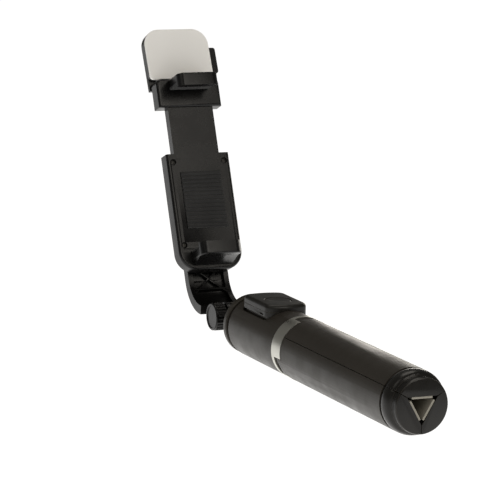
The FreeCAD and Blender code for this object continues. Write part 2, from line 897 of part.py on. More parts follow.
def slanting_rib(turn):
    """A thin wall across the arm's channel, turned about the clamp's normal."""
    reach = d.arm_half * 2
    wall = box((-RIB_HALF, -reach, -reach), (RIB_HALF, reach, reach))
    spun = place(group(wall), (0, -d.arm_rise, 0), Rotation(Vector(0, 0, 1), turn))
    return in_clamp_frame(spun)


def arm():
    """The cranked arm: two ears at the hinge, a ribbed channel and the swivel plate."""
    half = d.arm_half
    thick = d.arm_thickness
    plate = fuse(
        box((-half, -d.arm_rise - 0.5, -thick), (half, 0, 0)),
        rod(half, (0, 0, -thick), thick, "Z"),
    )
    ears = []
    for low, high in ((-EAR_STEP, -ear_inner), (ear_inner, ear_outer)):
        width = high - low
        ears.append(box((low, hinge_y, -thick), (high, bend_y + 1.5, thick / 2)))
        ears.append(rod(d.hinge_radius, (low, hinge_y, 0), width, "X"))
    root = box((-half, bend_y - 1.0, -d.arm_drop), (half, bend_y + 0.2, thick - d.arm_drop))
    solid = fuse(
        in_clamp_frame(plate), bend(d.arm_bend_radius, bend_inner, half, bend_turn), root, *ears
    )
    inside = half - d.arm_rim
    web_radius = d.arm_bend_radius - d.arm_web
    channel = fuse(
        bend(web_radius, bend_inner - 1, inside, bend_turn),
        in_clamp_frame(box((-inside, -d.arm_rise - 0.5, d.arm_web - thick), (inside, -10, 1))),
    )
    walls = fuse(cross_rib(half), slanting_rib(RIB_SLANT), slanting_rib(-RIB_SLANT))
    ribs = common(solid, channel, walls)
    front_wall = common(
        bend(d.arm_bend_radius, bend_inner, half, bend_turn),
        box((-half, bend_y, -d.arm_drop), (half, bend_y + 1.6, d.arm_thickness)),
    )
    body = fuse(cut(solid, channel), ribs, front_wall)
    nut_start = ear_outer - NUT_WIDTH
    return cut(
        body,
        rod(bolt_hole, (-half, hinge_y, 0), 2 * half, "X"),
        hexagon(NUT_RADIUS, (nut_start, hinge_y, 0), NUT_WIDTH + 2),
        in_clamp_frame(rod(d.swivel_radius + d.slide_fit, (0, 0, -thick - 1), thick + 2, "Z")),
    )


def swivel_washer():
    ring = rod(6, (0, 0, 0), SWIVEL_GAP - 0.1, "Z")
    return cut(ring, rod(d.swivel_radius + d.slide_fit, (0, 0, -1), 3, "Z"))


def build_arm():
    keep(arm(), "arm")
    keep(swivel_washer(), "swivel_washer", CLAMP)


# ---------------------------------------------------------------- clamp, in the clamp frame

back = Size(SWIVEL_GAP, str(SWIVEL_GAP))
front = back + d.clamp_thickness
cavity_back = back + d.clamp_skin
cavity_front = front - d.clamp_skin
pad_low = -d.jaw_floor_drop
floor_low = pad_low - d.pad_thickness
pad_high = pad_low + d.jaw_gap
floor_high = pad_high + d.pad_thickness
head_low = floor_high - 9.2
head_high = head_low + d.head_height
stem_low = head_low - d.stem_length
jaw_tip = front + d.jaw_reach
hook_start = jaw_tip - d.hook_depth
boss_top = cavity_back + 2.6
SPRING_SIDES = (-3.3, 3.3)
SPRING_LOW = 8.3
POST_RADIUS = 0.8
post_high = head_low - 5.5
CHANNEL_HALF = 6.5
cover_half = d.stem_half + 3.1
SCREW_RADIUS = 0.8
SCREW_HEAD_RADIUS = 1.4
SCREW_HEAD_DEPTH = 0.6
SCREW_SLOT_HALF = 0.2


def upright(middle, ends):
    return abs(ends.z) > 1 and abs(ends.x) < 0.01 and abs(ends.y) < 0.01


def jaw(pad_face, floor, outward):
    """A jaw with its hook: outward is -1 for the lower jaw and +1 for the upper one."""
    tip = pad_face - outward * d.hook_rise
    outer = tip + outward * d.hook_height
    low, high = (outer, floor) if outward < 0 else (floor, outer)
    hook_low, hook_high = (outer, tip) if outward < 0 else (tip, outer)
    half = d.jaw_half
    shelf = box((-half, low, front - 1), (half, high, jaw_tip))
    hook = box((-half, hook_low, hook_start), (half, hook_high, jaw_tip))
    solid = fuse(shelf, hook)
    tip_z = jaw_tip.value
    solid = round_edges(
        solid, 3.4, lambda middle, ends: abs(ends.y) > 1 and middle.z > tip_z - 0.1
    )
    top = outer.value
    return round_edges(
        solid, 0.8, lambda middle, ends: abs(middle.y - top) < 0.01 and middle.z > tip_z - 4
    )


def clamp_body():
    """The fixed half: a flat case with the lower jaw and the swivel boss."""
    half = d.clamp_half
    low = -d.clamp_below
    case = box((-half, low, back), (half, d.clamp_above, front))
    case = round_edges(
        case, 9, lambda middle, ends: upright(middle, ends) and middle.y < low.value + 1
    )
    case = round_edges(
        case,
        1.2,
        lambda middle, ends: middle.z > front.value - 0.05 and middle.y < d.clamp_above.value - 1,
    )
    inner = d.stem_half + 0.1
    seat_half = cover_half + 0.1
    cavity = box((-inner, low + 3.6, cavity_back), (inner, d.clamp_above + 1, cavity_front))
    seat = box(
        (-seat_half, floor_low + 0.2, cavity_front), (seat_half, d.clamp_above + 1, front + 1)
    )
    boss = rod(5, (0, 0, back), boss_top - back, "Z")
    post_y = SPRING_LOW - POST_RADIUS
    posts = [rod(POST_RADIUS, (x, post_y, back), boss_top - back, "Z") for x in SPRING_SIDES]
    holes = [
        rod(SCREW_RADIUS, (x, y, cavity_back), d.clamp_thickness * 2, "Z")
        for x, y in cover_screw_places()
    ]
    solid = fuse(cut(case, cavity, seat), jaw(pad_low, floor_low, -1), boss, *posts)
    gusset = padded(
        "jaw_gusset",
        "YZ_Plane",
        (
            (low + 2.0, front - 1),
            (floor_low - 0.6, front - 1),
            (floor_low - 0.6, jaw_tip - 3),
            (low + 5.2, jaw_tip - 3),
            (low + 2.6, front + 1.5),
        ),
        2 * (d.jaw_half - 0.6),
        -(d.jaw_half - 0.6),
    )
    solid = fuse(solid, gusset)
    return cut(solid, rod(d.swivel_radius, (0, 0, back - 1), boss_top + 2, "Z"), *holes)


def cover_screw_places():
    side = d.stem_half + 1.5
    return [(x, y) for x in (-side, side) for y in (floor_low + 4, d.clamp_above - 4)]


def clamp_cover():
    """The flat cover over the stem, held by four small screws."""
    plate = box((-cover_half, floor_low + 0.3, cavity_front), (cover_half, d.clamp_above, front))
    sink_radius = SCREW_HEAD_RADIUS + 0.1
    sink_start = front - SCREW_HEAD_DEPTH
    holes = []
    for x, y in cover_screw_places():
        holes.append(rod(SCREW_RADIUS, (x, y, cavity_front - 1), d.clamp_thickness, "Z"))
        holes.append(rod(sink_radius, (x, y, sink_start), d.clamp_thickness, "Z"))
    return cut(plate, *holes)


def cover_screws():
    """Four slotted screws, their heads just below the cover's face."""
    head_start = front - SCREW_HEAD_DEPTH
    slot_x = SCREW_HEAD_RADIUS + 0.1
    screws = []
    for x, y in cover_screw_places():
        shank = rod(SCREW_RADIUS, (x, y, cavity_back), head_start - cavity_back, "Z")
        head = rod(SCREW_HEAD_RADIUS, (x, y, head_start), SCREW_HEAD_DEPTH - 0.1, "Z")
        slot = box(
            (x - slot_x, y - SCREW_SLOT_HALF, front - SCREW_HEAD_DEPTH / 2),
            (x + slot_x, y + SCREW_SLOT_HALF, front + 1),
        )
        screws.append(cut(fuse(shank, head), slot))
    return group(*screws)


def ribbed_pad(low, high, face, outward, count=5):
    """A thin soft pad whose gripping face has shallow grooves across it."""
    solid = box(low, high)
    start, end = low[2], high[2]
    pitch = (end - start) / count
    grooves = []
    for index in range(1, count):
        z = start + index * pitch
        y = face - 0.3 if outward < 0 else face
        grooves.append(box((low[0] - 1, y, z - 0.3), (high[0] + 1, y + 0.3, z + 0.3)))
    return cut(solid, *grooves)


def jaw_pads():
    half = d.jaw_half - 0.5
    start, end = front + 0.3, hook_start - 0.2
    lower = ribbed_pad((-half, floor_low, start), (half, pad_low, end), pad_low, -1)
    upper = ribbed_pad((-half, pad_high, start), (half, floor_high, end), pad_high, 1)
    return lower, upper


def back_pad():
    """The soft pad on the cover, which the phone's back leans on."""
    half = d.stem_half - 1.5
    face = front + d.pad_thickness
    low, high = floor_low + 12, d.clamp_above - 9
    solid = box((-half, low, front), (half, high, face))
    solid = round_edges(solid, 3, upright)
    count = 6
    pitch = (high - low) / count
    grooves = []
    for index in range(1, count):
        y = low + index * pitch
        grooves.append(box((-half - 1, y - 0.4, face - 0.4), (half + 1, y + 0.4, face + 1)))
    return cut(solid, *grooves)


def swivel_screw():
    """The screw turns with the clamp; its head bears on the back of the arm."""
    back_face = -d.arm_thickness - 0.1
    shank = rod(d.swivel_radius, (0, 0, back_face), boss_top - back_face, "Z")
    head = rod(3.4, (0, 0, back_face - 1.8), 1.8, "Z")
    head = round_edges(head, 0.7, lambda middle, ends: middle.z < back_face.value - 1.7)
    cross = [
        box((-2, -0.35, back_face - 3), (2, 0.35, back_face - 1.0)),
        box((-0.35, -2, back_face - 3), (0.35, 2, back_face - 1.0)),
    ]
    return cut(fuse(shank, head), *cross)


def jaw_springs():
    """Two long tension springs that pull the sliding half down."""
    wire, coil = 0.25, 0.75
    height = post_high.value - POST_RADIUS - SPRING_LOW
    turns = 14
    springs = doc.addObject("Part::Feature", "springs")
    coils = []
    for x in SPRING_SIDES:
        helix = Part.makeHelix(height / turns, height, coil)
        ring = Part.Wire([Part.Edge(Part.Circle(Vector(coil, 0, 0), Vector(0, 1, 0), wire))])
        spring = Part.Wire(helix.Edges).makePipeShell([ring], True, True)
        spring.Placement = Placement(
            Vector(x, SPRING_LOW, (cavity_back.value + cavity_front.value) / 2), ALONG["Y"]
        )
        coils.append(spring)
    springs.Shape = Part.makeCompound(coils)
    return springs


def upper_jaw():
    """The sliding half: stem with a spring channel, wide head, jaw and two light lugs."""
    half = d.clamp_half
    inner = d.stem_half
    stem = box((-inner, stem_low, cavity_back + 0.1), (inner, head_low + 1, cavity_front - 0.1))
    head = box((-half, head_low, back), (half, head_high, front))
    head = round_edges(
        head, 3, lambda middle, ends: upright(middle, ends) and middle.y > head_high.value - 1
    )
    head = round_edges(head, 1.2, lambda middle, ends: middle.z > front.value - 0.05)
    lugs = []
    for low in (-12.5, 9.0):
        lugs.append(rod(LUG_RADIUS, (low, lamp_pin_y, lamp_pin_z), 3.5, "X"))
        lugs.append(
            box(
                (low, lamp_pin_y - LUG_RADIUS, lamp_pin_z),
                (low + 3.5, lamp_pin_y + LUG_RADIUS, back + 1),
            )
        )
    solid = fuse(stem, head, jaw(pad_high, floor_high, 1), *lugs)
    skin = 0.9
    open_low = box(
        (-CHANNEL_HALF, stem_low - 1, cavity_back - 1),
        (CHANNEL_HALF, d.clamp_above - 2, cavity_front - 0.1 - skin),
    )
    closed_high = box(
        (-CHANNEL_HALF, d.clamp_above - 3, cavity_back + 0.1 + skin),
        (CHANNEL_HALF, head_low - 4, cavity_front - 0.1 - skin),
    )
    post_start = cavity_back + 0.1
    post_length = cavity_front - cavity_back - 0.2
    posts = [
        rod(POST_RADIUS, (x, post_high, post_start), post_length, "Z") for x in SPRING_SIDES
    ]
    pin = rod(d.lamp_pin_radius, (-half, lamp_pin_y, lamp_pin_z), 2 * half, "X")
    return cut(fuse(cut(solid, open_low, closed_high), *posts), pin)


# ---------------------------------------------------------------- fill light

# The lamp frame is the clamp frame moved to the light's hinge axis and leant back.
LUG_RADIUS = 2.3
lamp_pin_y = head_high - 6.7
lamp_pin_z = Size(-2.6, "(-2.6)")


def in_lamp_frame(obj):
    lean = Rotation(Vector(-1, 0, 0), d.lamp_lean.value)
    piece = place(group(obj), (0, lamp_pin_y, lamp_pin_z), lean)
    piece.setExpression("Placement.Rotation.Angle", d.lamp_lean.text)
    return piece


def lamp_outline(low_z, high_z, offset=0):
    """The light's rounded plan, raised between two depths."""
    half = d.lamp_half + offset
    low = d.lamp_foot - offset
    high = d.lamp_top + offset
    solid = box((-half, low, low_z), (half, high, high_z))
    corner = d.lamp_corner.value + value_of(offset)
    solid = round_edges(
        solid, corner, lambda middle, ends: abs(ends.z) > 0.1 and middle.y > high.value - 1
    )
    return round_edges(
        solid,
        max(0.3, 2.0 + value_of(offset)),
        lambda middle, ends: abs(ends.z) > 0.1 and middle.y < low.value + 0.1 and abs(ends.x) < 0.1,
    )


TRAY_BACK = -0.1
HUMP_BACK = -1.9
tray_front = TRAY_BACK + d.lamp_depth
lens_front = tray_front + d.lens_rise
button_low = d.lamp_foot + 3.2
button_high = button_low + 13


def light_tray():
    """The light's black tray with its battery hump, foot flange and hinge knuckle."""
    skin = d.lamp_skin
    hump = box((-13, d.lamp_foot + 2, HUMP_BACK), (13, d.lamp_top - 3, TRAY_BACK + 1))
    hump = round_edges(hump, 3, upright)
    flange = box((-d.lamp_half, LUG_RADIUS + 0.3, TRAY_BACK), (d.lamp_half, d.lamp_foot + 2, 2.0))
    knuckle = fuse(
        rod(LUG_RADIUS - 0.2, (-8.6, 0, 0), 17.2, "X"),
        box((-8.6, 0, 0.2 - LUG_RADIUS), (8.6, LUG_RADIUS + 1, LUG_RADIUS - 0.2)),
    )
    solid = fuse(lamp_outline(TRAY_BACK, tray_front), hump, flange, knuckle)
    well = lamp_outline(TRAY_BACK + skin, tray_front + 1, -skin)
    hump_well = box(
        (-13 + skin, d.lamp_foot + 2 + skin, HUMP_BACK + 1.0),
        (13 - skin, d.lamp_top - 3 - skin, tray_front),
    )
    window = box(
        (d.lamp_half - 3, button_low - 0.2, 0.4), (d.lamp_half + 1, button_high + 0.2, 3.4)
    )
    pin = rod(d.lamp_pin_radius + d.slide_fit, (-9, 0, 0), 18, "X")
    return cut(solid, well, hump_well, window, pin)


def light_diffuser():
    """The white diffuser: a proud plate with a rounded edge and a locating skirt."""
    plate = lamp_outline(tray_front, lens_front)
    face = lens_front.value
    plate = round_edges(plate, 0.5, lambda middle, ends: middle.z > face - 0.01)
    fit = d.lamp_skin + 0.1
    skirt = cut(
        lamp_outline(tray_front - 0.3, tray_front + 0.2, -fit),
        lamp_outline(tray_front - 1, tray_front + 1, -fit - 0.8),
    )
    return fuse(plate, skirt)


def light_board():
    """The circuit board that carries the light's diodes."""
    return box((-13.6, d.lamp_foot + 3, 1.7), (12.6, d.lamp_top - 4, 2.5))


def light_diodes():
    """Rows of surface-mounted diodes, kept as one group."""
    columns, rows = 5, 4
    left, right = -10.0, 10.0
    low = d.lamp_foot + 6
    high = d.lamp_top - 7
    chips = []
    for column in range(columns):
        x = left + (right - left) * column / (columns - 1)
        for row in range(rows):
            y = low + (high - low) * row / (rows - 1)
            chips.append(box((x - 1.4, y - 1.0, 2.5), (x + 1.4, y + 1.0, 3.1)))
    return group(*chips)


def light_battery():
    return box((-11, d.lamp_foot + 4, HUMP_BACK + 1.1), (11, d.lamp_top - 5, 1.3))


def light_button():
    """The side button: a long cap through the tray's wall, with a flange inside."""
    side = d.lamp_half
    cap = box((side - 1.3, button_low, 0.55), (side + 3.6, button_high, 3.25))
    cap = round_edges(cap, 1.2, lambda middle, ends: abs(ends.z) > 1 and middle.x > side.value + 3)
    return cap


def light_pin():
    return rod(d.lamp_pin_radius, (-12.4, 0, 0), 24.8, "X")


def build_clamp():
    keep(clamp_body(), "clamp_body", CLAMP)
    keep(clamp_cover(), "clamp_cover", CLAMP)
    keep(cover_screws(), "cover_screws", CLAMP)
    lower, upper = jaw_pads()
    keep(lower, "lower_pad", CLAMP)
    keep(back_pad(), "back_pad", CLAMP)
    keep(swivel_screw(), "swivel_screw", CLAMP)
    keep(jaw_springs(), "jaw_springs", CLAMP)
    keep(upper_jaw(), "upper_jaw", CLAMP)
    keep(upper, "upper_pad", CLAMP)


def build_light():
    pieces = {
        "light_tray": light_tray(),
        "light_diffuser": light_diffuser(),
        "light_board": light_board(),
        "light_diodes": light_diodes(),
        "light_battery": light_battery(),
        "light_button": light_button(),
        "light_pin": light_pin(),
    }
    for label, piece in pieces.items():
        keep(in_lamp_frame(piece), label, CLAMP)


# ---------------------------------------------------------------- build, check and export


def check(obj):
    """Stops the build when an object failed or a piece isn't a sound shape."""
    if "Invalid" in obj.State or "Error" in obj.State:
        raise ValueError(f"{obj.Label}: failed to recompute")
    if hasattr(obj, "Shape") and obj in nodes.values():
        shape = obj.Shape
        if shape.isNull() or not shape.isValid() or not shape.Solids:
            raise ValueError(f"{obj.Label}: unsound shape")


def export():
    os.makedirs("parts", exist_ok=True)
    for label, piece in nodes.items():
        piece.Shape.exportStep(f"parts/{label}.step")
        print(f"{label}: {len(piece.Shape.Solids)} solids, {piece.Shape.Volume:.1f} mm3")


build_pole()
build_legs()
build_handle()
build_remote()
build_head()
build_arm()
build_clamp()
build_light()
doc.recompute()
for item in doc.Objects:
    check(item)
export()
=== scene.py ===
# %% [markdown]
# # A pocket selfie stick
#
# The real thing is a moulded plastic handle that splits into three legs, a thin steel pole, a
# cranked arm, a sprung phone clamp with a small light behind it and a remote that rides on the
# handle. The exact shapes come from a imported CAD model. This script turns them into what the
# eye expects: rounded mould edges, worn corners, rubber pads, springs and believable finishes.

# %% Load the frame
import json
import math

import bmesh
import bpy
from mathutils import Matrix, Vector


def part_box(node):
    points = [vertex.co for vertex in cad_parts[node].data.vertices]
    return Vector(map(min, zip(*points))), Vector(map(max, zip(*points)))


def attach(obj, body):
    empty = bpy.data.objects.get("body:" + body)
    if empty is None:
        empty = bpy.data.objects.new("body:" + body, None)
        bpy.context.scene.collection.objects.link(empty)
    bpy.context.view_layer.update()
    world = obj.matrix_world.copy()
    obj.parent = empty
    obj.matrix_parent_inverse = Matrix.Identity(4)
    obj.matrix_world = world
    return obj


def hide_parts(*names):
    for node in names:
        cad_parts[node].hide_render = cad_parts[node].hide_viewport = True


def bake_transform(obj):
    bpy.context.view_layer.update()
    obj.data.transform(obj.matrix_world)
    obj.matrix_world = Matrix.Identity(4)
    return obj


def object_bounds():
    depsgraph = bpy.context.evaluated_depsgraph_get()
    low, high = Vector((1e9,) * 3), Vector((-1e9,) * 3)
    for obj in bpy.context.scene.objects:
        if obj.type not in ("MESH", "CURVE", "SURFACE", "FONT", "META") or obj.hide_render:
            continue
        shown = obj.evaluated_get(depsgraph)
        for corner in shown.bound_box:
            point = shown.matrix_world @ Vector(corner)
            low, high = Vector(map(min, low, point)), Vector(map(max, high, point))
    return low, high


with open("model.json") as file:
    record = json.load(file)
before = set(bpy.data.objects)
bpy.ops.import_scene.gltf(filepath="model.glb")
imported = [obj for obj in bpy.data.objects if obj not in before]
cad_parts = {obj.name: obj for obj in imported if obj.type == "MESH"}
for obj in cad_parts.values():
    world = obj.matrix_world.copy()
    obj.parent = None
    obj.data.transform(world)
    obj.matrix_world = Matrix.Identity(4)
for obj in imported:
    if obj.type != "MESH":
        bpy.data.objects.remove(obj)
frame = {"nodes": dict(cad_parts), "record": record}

CAD_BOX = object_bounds()
MM = 0.001
nodes = frame["nodes"]
record = frame["record"]
body_of = {node: body for body, names in record["behaviour"]["bodies"].items() for node in names}
joints = {joint["name"]: joint for joint in record["behaviour"]["joints"]}
print("nodes:", len(nodes), "box in mm:", [[round(v / MM, 1) for v in corner] for corner in CAD_BOX])

# %% [markdown]
# ## Two small tools for node trees
#
# Every material and every Geometry Nodes tree below is a handful of nodes. One helper adds a
# node, sets its properties and fills its inputs, either with a plain value or with a link.
# Colours are picked as sRGB hex values, as in any paint program, and turned to linear light.


# %% Node and colour helpers
def add(tree, kind, inputs=None, **settings):
    """Adds a node with its settings; an input is a value, or a socket to link from."""
    node = tree.nodes.new(kind)
    for name, value in settings.items():
        setattr(node, name, value)
    for key, value in (inputs or {}).items():
        if isinstance(value, bpy.types.NodeSocket):
            tree.links.new(value, node.inputs[key])
        else:
            node.inputs[key].default_value = value
    return node


def linear(colour):
    """An sRGB hex colour as linear red, green, blue and alpha."""
    channels = [int(colour[i : i + 2], 16) / 255 for i in (1, 3, 5)]
    return tuple(c / 12.92 if c <= 0.04045 else ((c + 0.055) / 1.055) ** 2.4 for c in channels) + (1,)


print("mid grey in linear light:", [round(c, 3) for c in linear("#808080")])

# %% [markdown]
# ## How a finish is put together
#
# A real surface is never one colour. Each finish below has three layers: a slow drift of colour
# over centimetres, a fine grain that breaks the highlight up, and a roughness that varies with
# handling. They share one builder, and only the numbers say which material it is. All patterns
# read Object coordinates, in metres, so a grain of 0.5 mm is a noise scale of 1 / 0.0005.


# %% The builder that the finishes share
DRIFT_MM = 28
SMUDGE_MM = 9
NOISE_LOW = 0.35
NOISE_HIGH = 0.65


def drifting(tree, place, shades):
    """A colour that wanders slowly between two shades."""
    drift = add(tree, "ShaderNodeTexNoise", {"Vector": place, "Scale": 1 / (DRIFT_MM * MM), "Detail": 3})
    blend = add(
        tree,
        "ShaderNodeMix",
        {0: drift.outputs[0], 6: linear(shades[0]), 7: linear(shades[1])},
        data_type="RGBA",
    )
    return blend.outputs[2]


def finish(name, colour, roughness, grain_mm, bump_mm, stretch=(1, 1, 1), **constants):
    """A surface of this colour (two shades, or a rule), with varying roughness and fine grain."""
    material = bpy.data.materials.new(name)
    material.use_nodes = True
    tree = material.node_tree
    shader = tree.nodes["Principled BSDF"]
    for socket, value in constants.items():
        shader.inputs[socket.replace("_", " ")].default_value = value
    place = add(tree, "ShaderNodeTexCoord").outputs["Object"]
    base = colour(tree, place) if callable(colour) else drifting(tree, place, colour)
    tree.links.new(base, shader.inputs["Base Color"])
    handling = add(tree, "ShaderNodeTexNoise", {"Vector": place, "Scale": 1 / (SMUDGE_MM * MM), "Detail": 5})
    spread = {0: handling.outputs[0], 1: NOISE_LOW, 2: NOISE_HIGH, 3: roughness[0], 4: roughness[1]}
    tree.links.new(add(tree, "ShaderNodeMapRange", spread).outputs[0], shader.inputs["Roughness"])
    along = add(tree, "ShaderNodeMapping", {"Vector": place, "Scale": stretch})
    grain = add(
        tree, "ShaderNodeTexNoise", {"Vector": along.outputs[0], "Scale": 1 / (grain_mm * MM), "Detail": 2}
    )
    raised = add(
        tree, "ShaderNodeBump", {"Height": grain.outputs[0], "Distance": bump_mm * MM, "Strength": 1.0}
    )
    tree.links.new(raised.outputs[0], shader.inputs["Normal"])
    return material


# %% [markdown]
# ## Plastics
#
# The handle and legs are ABS from a mould with a fine spark-eroded skin: a warm near-black with
# a broad, soft sheen. The clamp and the arm are glass-filled nylon from a polished mould, which
# is blacker and shows tighter highlights. The feet and the remote are a darker ABS. Handling
# polishes edges, so each has a lighter, smoother partner that is used only on the rounded edges.
# The true grain is about 0.1 mm; it is drawn at four to six times that, the finest that a
# whole-object view can show.

# %% Plastic finishes
ABS = {"IOR": 1.54, "Specular_IOR_Level": 0.22}
NYLON = {"IOR": 1.53, "Specular_IOR_Level": 0.26}
abs_skin = finish("spark_eroded_abs", ("#282520", "#332f29"), (0.34, 0.44), 0.5, 0.012, **ABS)
foot_skin = finish("polished_abs_foot", ("#12110f", "#1b1916"), (0.24, 0.32), 0.6, 0.006, **NYLON)
foot_edge = finish("worn_foot_edge", ("#2b2824", "#37332e"), (0.22, 0.3), 0.6, 0.003, **NYLON)
abs_edge = finish("handled_abs_edge", ("#34312b", "#403c34"), (0.28, 0.36), 0.6, 0.004, **ABS)
nylon_skin = finish("polished_nylon", ("#070707", "#0d0c0c"), (0.22, 0.32), 0.6, 0.006, **NYLON)
nylon_edge = finish("worn_nylon_edge", ("#1a1918", "#242321"), (0.2, 0.3), 0.6, 0.003, **NYLON)
remote_skin = finish("matte_abs_remote", ("#12110e", "#1a1814"), (0.34, 0.44), 0.45, 0.01, **NYLON)
remote_edge = finish("handled_remote_edge", ("#2c2a25", "#37342e"), (0.28, 0.36), 0.6, 0.004, **ABS)
# The plates in the foot's triangular hole are coloured light grey as painted reflection: the grey stands for
# the light that the legs' inner faces and their chamfers reflect.
painted_reflection_grey = finish("moulded_grey_abs", ("#8a867c", "#989489"), (0.38, 0.5), 0.6, 0.01, **ABS)
acetal = finish("black_acetal_bush", ("#161616", "#1e1e1e"), (0.4, 0.5), 0.4, 0.005, IOR=1.48)
print("plastics:", [m.name for m in (abs_skin, nylon_skin, remote_skin, painted_reflection_grey, acetal)])

# %% [markdown]
# ## Metals
#
# A metal's colour is its reflection, so metallic is 1 and the IOR stays at its default. The pole
# is drawn stainless tube, polished, with faint lines along its length: the noise is squeezed
# across the pole and stretched along Y. The trim ring is turned and anodised aluminium, so its
# lines run round the handle instead. Bolts and pins are zinc-plated steel, and the small screws
# in the clamp are plated black.

# %% Metal finishes
LONG_ALONG_POLE = (1, 0.02, 1)
FINE_ROUND_POLE = (0.05, 1, 0.05)
drawn_steel = finish(
    "drawn_stainless", ("#c4c4c2", "#d2d2d0"), (0.14, 0.24), 0.4, 0.004, LONG_ALONG_POLE, Metallic=1.0
)
turned_ring = finish(
    "anodised_aluminium", ("#b9b8af", "#cbcac2"), (0.26, 0.36), 0.35, 0.01, FINE_ROUND_POLE, Metallic=1.0
)
ring_edge = finish("bright_cut_aluminium", ("#dad9d2", "#e6e5de"), (0.16, 0.22), 0.5, 0.002, Metallic=1.0)
black_zinc = finish("black_zinc_steel", ("#2c2b2a", "#3a3937"), (0.3, 0.42), 0.5, 0.006, Metallic=1.0)
zinc = finish("zinc_plated_steel", ("#a7a8a8", "#bcbcba"), (0.26, 0.4), 0.5, 0.006, Metallic=1.0)
spring_wire = finish("spring_steel", ("#6f6d69", "#8a8884"), (0.22, 0.34), 0.4, 0.004, Metallic=1.0)
cell_wrap = finish("battery_foil", ("#8f9294", "#a6a9ab"), (0.3, 0.46), 2.5, 0.12, Metallic=1.0)
print("metals:", [m.name for m in (drawn_steel, turned_ring, zinc, spring_wire, cell_wrap)])

# %% [markdown]
# ## Rubber, opal acrylic and electronics
#
# The pads are moulded silicone, dull with a faint bloom, so they get a little sheen. The light's
# window is opal acrylic: light scatters inside it and comes back out soft, which subsurface
# scattering gives. The boards carry white solder mask with a regular pattern of copper under it.

# %% Other finishes
silicone = finish(
    "moulded_silicone", ("#151515", "#202020"), (0.62, 0.78), 0.5, 0.02, IOR=1.41, Sheen_Weight=0.2
)
opal = finish(
    "opal_acrylic",
    ("#f6f5f1", "#fcfbf8"),
    (0.3, 0.4),
    0.8,
    0.004,
    IOR=1.49,
    Subsurface_Weight=0.2,
    Subsurface_Radius=(0.003, 0.003, 0.0028),
    Subsurface_Scale=1.0,
)
phosphor = finish("diode_phosphor", ("#e6cf62", "#f0dc84"), (0.3, 0.4), 0.4, 0.004, IOR=1.5)


BOARD_CELL_MM = 9
TRACK_WIDTH = 0.03


def board_tracks(tree, place):
    """White solder mask with copper tracks showing through as slightly darker lines."""
    tracks = add(
        tree,
        "ShaderNodeTexBrick",
        {
            "Vector": place,
            "Color1": linear("#e2e3dd"),
            "Color2": linear("#d5d7cf"),
            "Mortar": linear("#b9b59a"),
            "Scale": 1 / (BOARD_CELL_MM * MM),
            "Mortar Size": TRACK_WIDTH,
        },
    )
    return tracks.outputs["Color"]


solder_mask = finish("white_solder_mask", board_tracks, (0.28, 0.4), 0.6, 0.004, IOR=1.5)
print("others:", [m.name for m in (silicone, opal, phosphor, solder_mask)])

# %% [markdown]
# ## Rounded mould edges
#
# No moulded part has a knife edge: the tool leaves a radius of a few tenths of a millimetre, and
# that radius catches a thin line of light. A copy of each CAD piece is welded, its flat faces are
# made whole again, and a bevel rounds what is sharper than a chosen angle. The bevel's own faces
# take the second material, so wear sits exactly on the edges.


# %% Softened copies of the CAD pieces
WELD = 0.004 * MM
FLAT = math.radians(0.6)


def plain_mesh(host, name):
    """Turns an object's evaluated result into a plain mesh object with no modifiers."""
    ready = host.evaluated_get(bpy.context.evaluated_depsgraph_get())
    mesh = bpy.data.meshes.new_from_object(ready)
    mesh.name = name
    host.modifiers.clear()
    host.data = mesh
    return host


def smooth_with_creases(mesh, sharp_deg):
    """Shades a mesh smooth, apart from edges sharper than this angle."""
    for polygon in mesh.polygons:
        polygon.use_smooth = True
    mesh.set_sharp_from_angle(angle=math.radians(sharp_deg))


def new_object(name, mesh):
    """Puts a mesh into the scene as an object at the origin."""
    made = bpy.data.objects.new(name, mesh)
    bpy.context.scene.collection.objects.link(made)
    return made


def softened(node, radius_mm, face, edge, sharp_deg=32, steps=2):
    """A copy of a CAD piece with rounded edges, riding on the same body."""
    mesh = nodes[node].data.copy()
    work = bmesh.new()
    work.from_mesh(mesh)
    bmesh.ops.remove_doubles(work, verts=work.verts, dist=WELD)
    bmesh.ops.dissolve_limit(work, angle_limit=FLAT, verts=work.verts, edges=work.edges)
    for polygon in work.faces:
        polygon.smooth = True
        polygon.material_index = 0
    work.to_mesh(mesh)
    work.free()
    mesh.materials.clear()
    mesh.materials.append(face)
    mesh.materials.append(edge)
    mesh.set_sharp_from_angle(angle=math.radians(sharp_deg))
    piece = new_object(f"{node}_skin", mesh)
    bevel = piece.modifiers.new("mould_radius", "BEVEL")
    bevel.width = radius_mm * MM
    bevel.segments = steps
    bevel.limit_method = "ANGLE"
    bevel.angle_limit = math.radians(sharp_deg)
    bevel.miter_outer = "MITER_ARC"
    bevel.harden_normals = True
    bevel.material = 1
    plain_mesh(piece, piece.name)
    settle(piece, node)
    return piece


def settle(piece, *replaced, body=None):
    """A piece stands for CAD nodes: they are hidden, and it rides on their body."""
    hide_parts(*replaced)
    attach(piece, body or body_of[replaced[0]])


